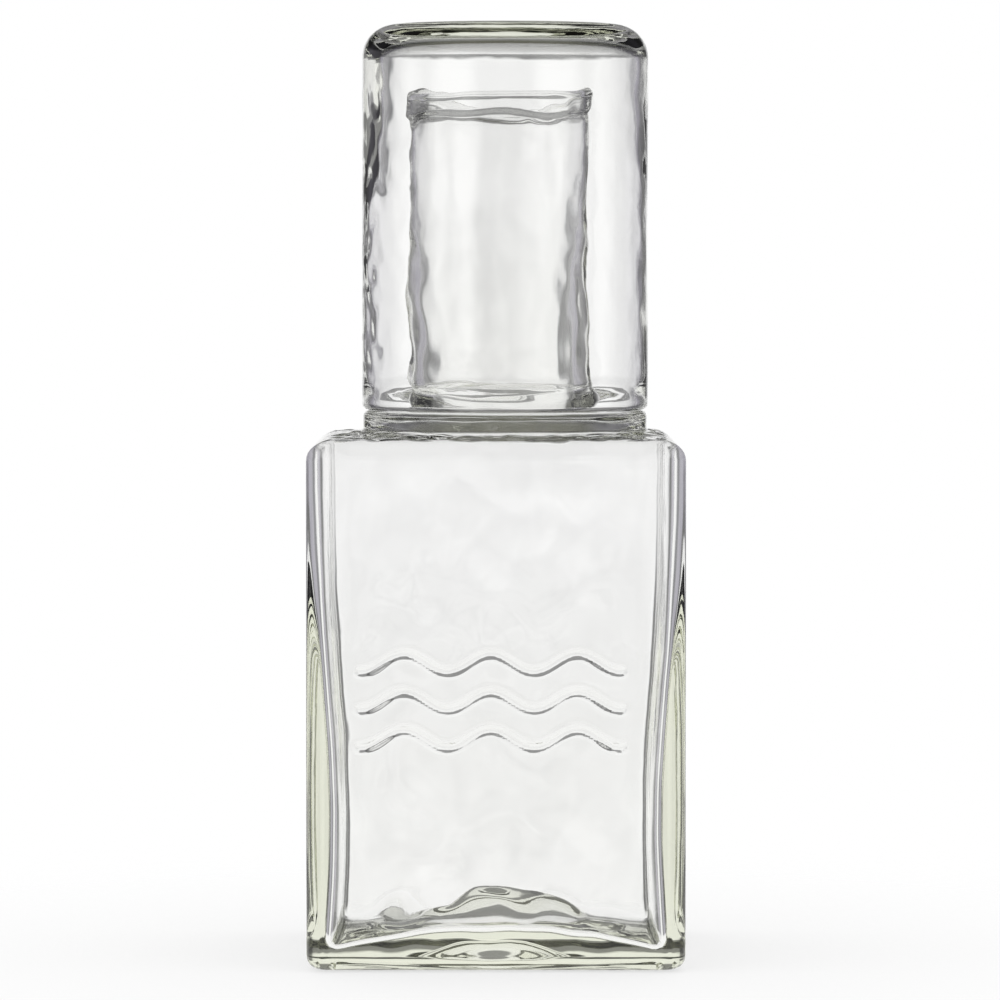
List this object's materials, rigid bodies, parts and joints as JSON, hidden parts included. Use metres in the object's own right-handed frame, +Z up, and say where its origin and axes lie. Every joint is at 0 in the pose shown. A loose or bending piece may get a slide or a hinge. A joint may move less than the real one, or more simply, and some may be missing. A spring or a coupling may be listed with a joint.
{
  "type": "bedside carafe with tumbler",
  "caption": "Square carafe of thick clear glass with a round neck, and a plain glass tumbler that stands upside down over the neck as its lid.",
  "frame": {"origin": "middle of the base, on the surface that the carafe stands on", "axes": "+Z up along the neck; -Y towards the viewer of the picture, +X to the viewer's right"},
  "size_m": [0.09, 0.09, 0.2255],
  "materials": {
    "carafe_glass": "clear, faintly green in its depth, slightly wavy fire-polished surface",
    "tumbler_glass": "clear, faintly green in its depth, slightly wavy fire-polished surface"
  },
  "bodies": {
    "carafe": {"carafe": "carafe_glass"},
    "tumbler": {"tumbler": "tumbler_glass"}
  },
  "joints": [
    {"name": "tumbler_lift", "type": "slide", "parent": "carafe", "child": "tumbler", "axis": [0, 0, 1], "range_m": [0, 0.085]}
  ]
}
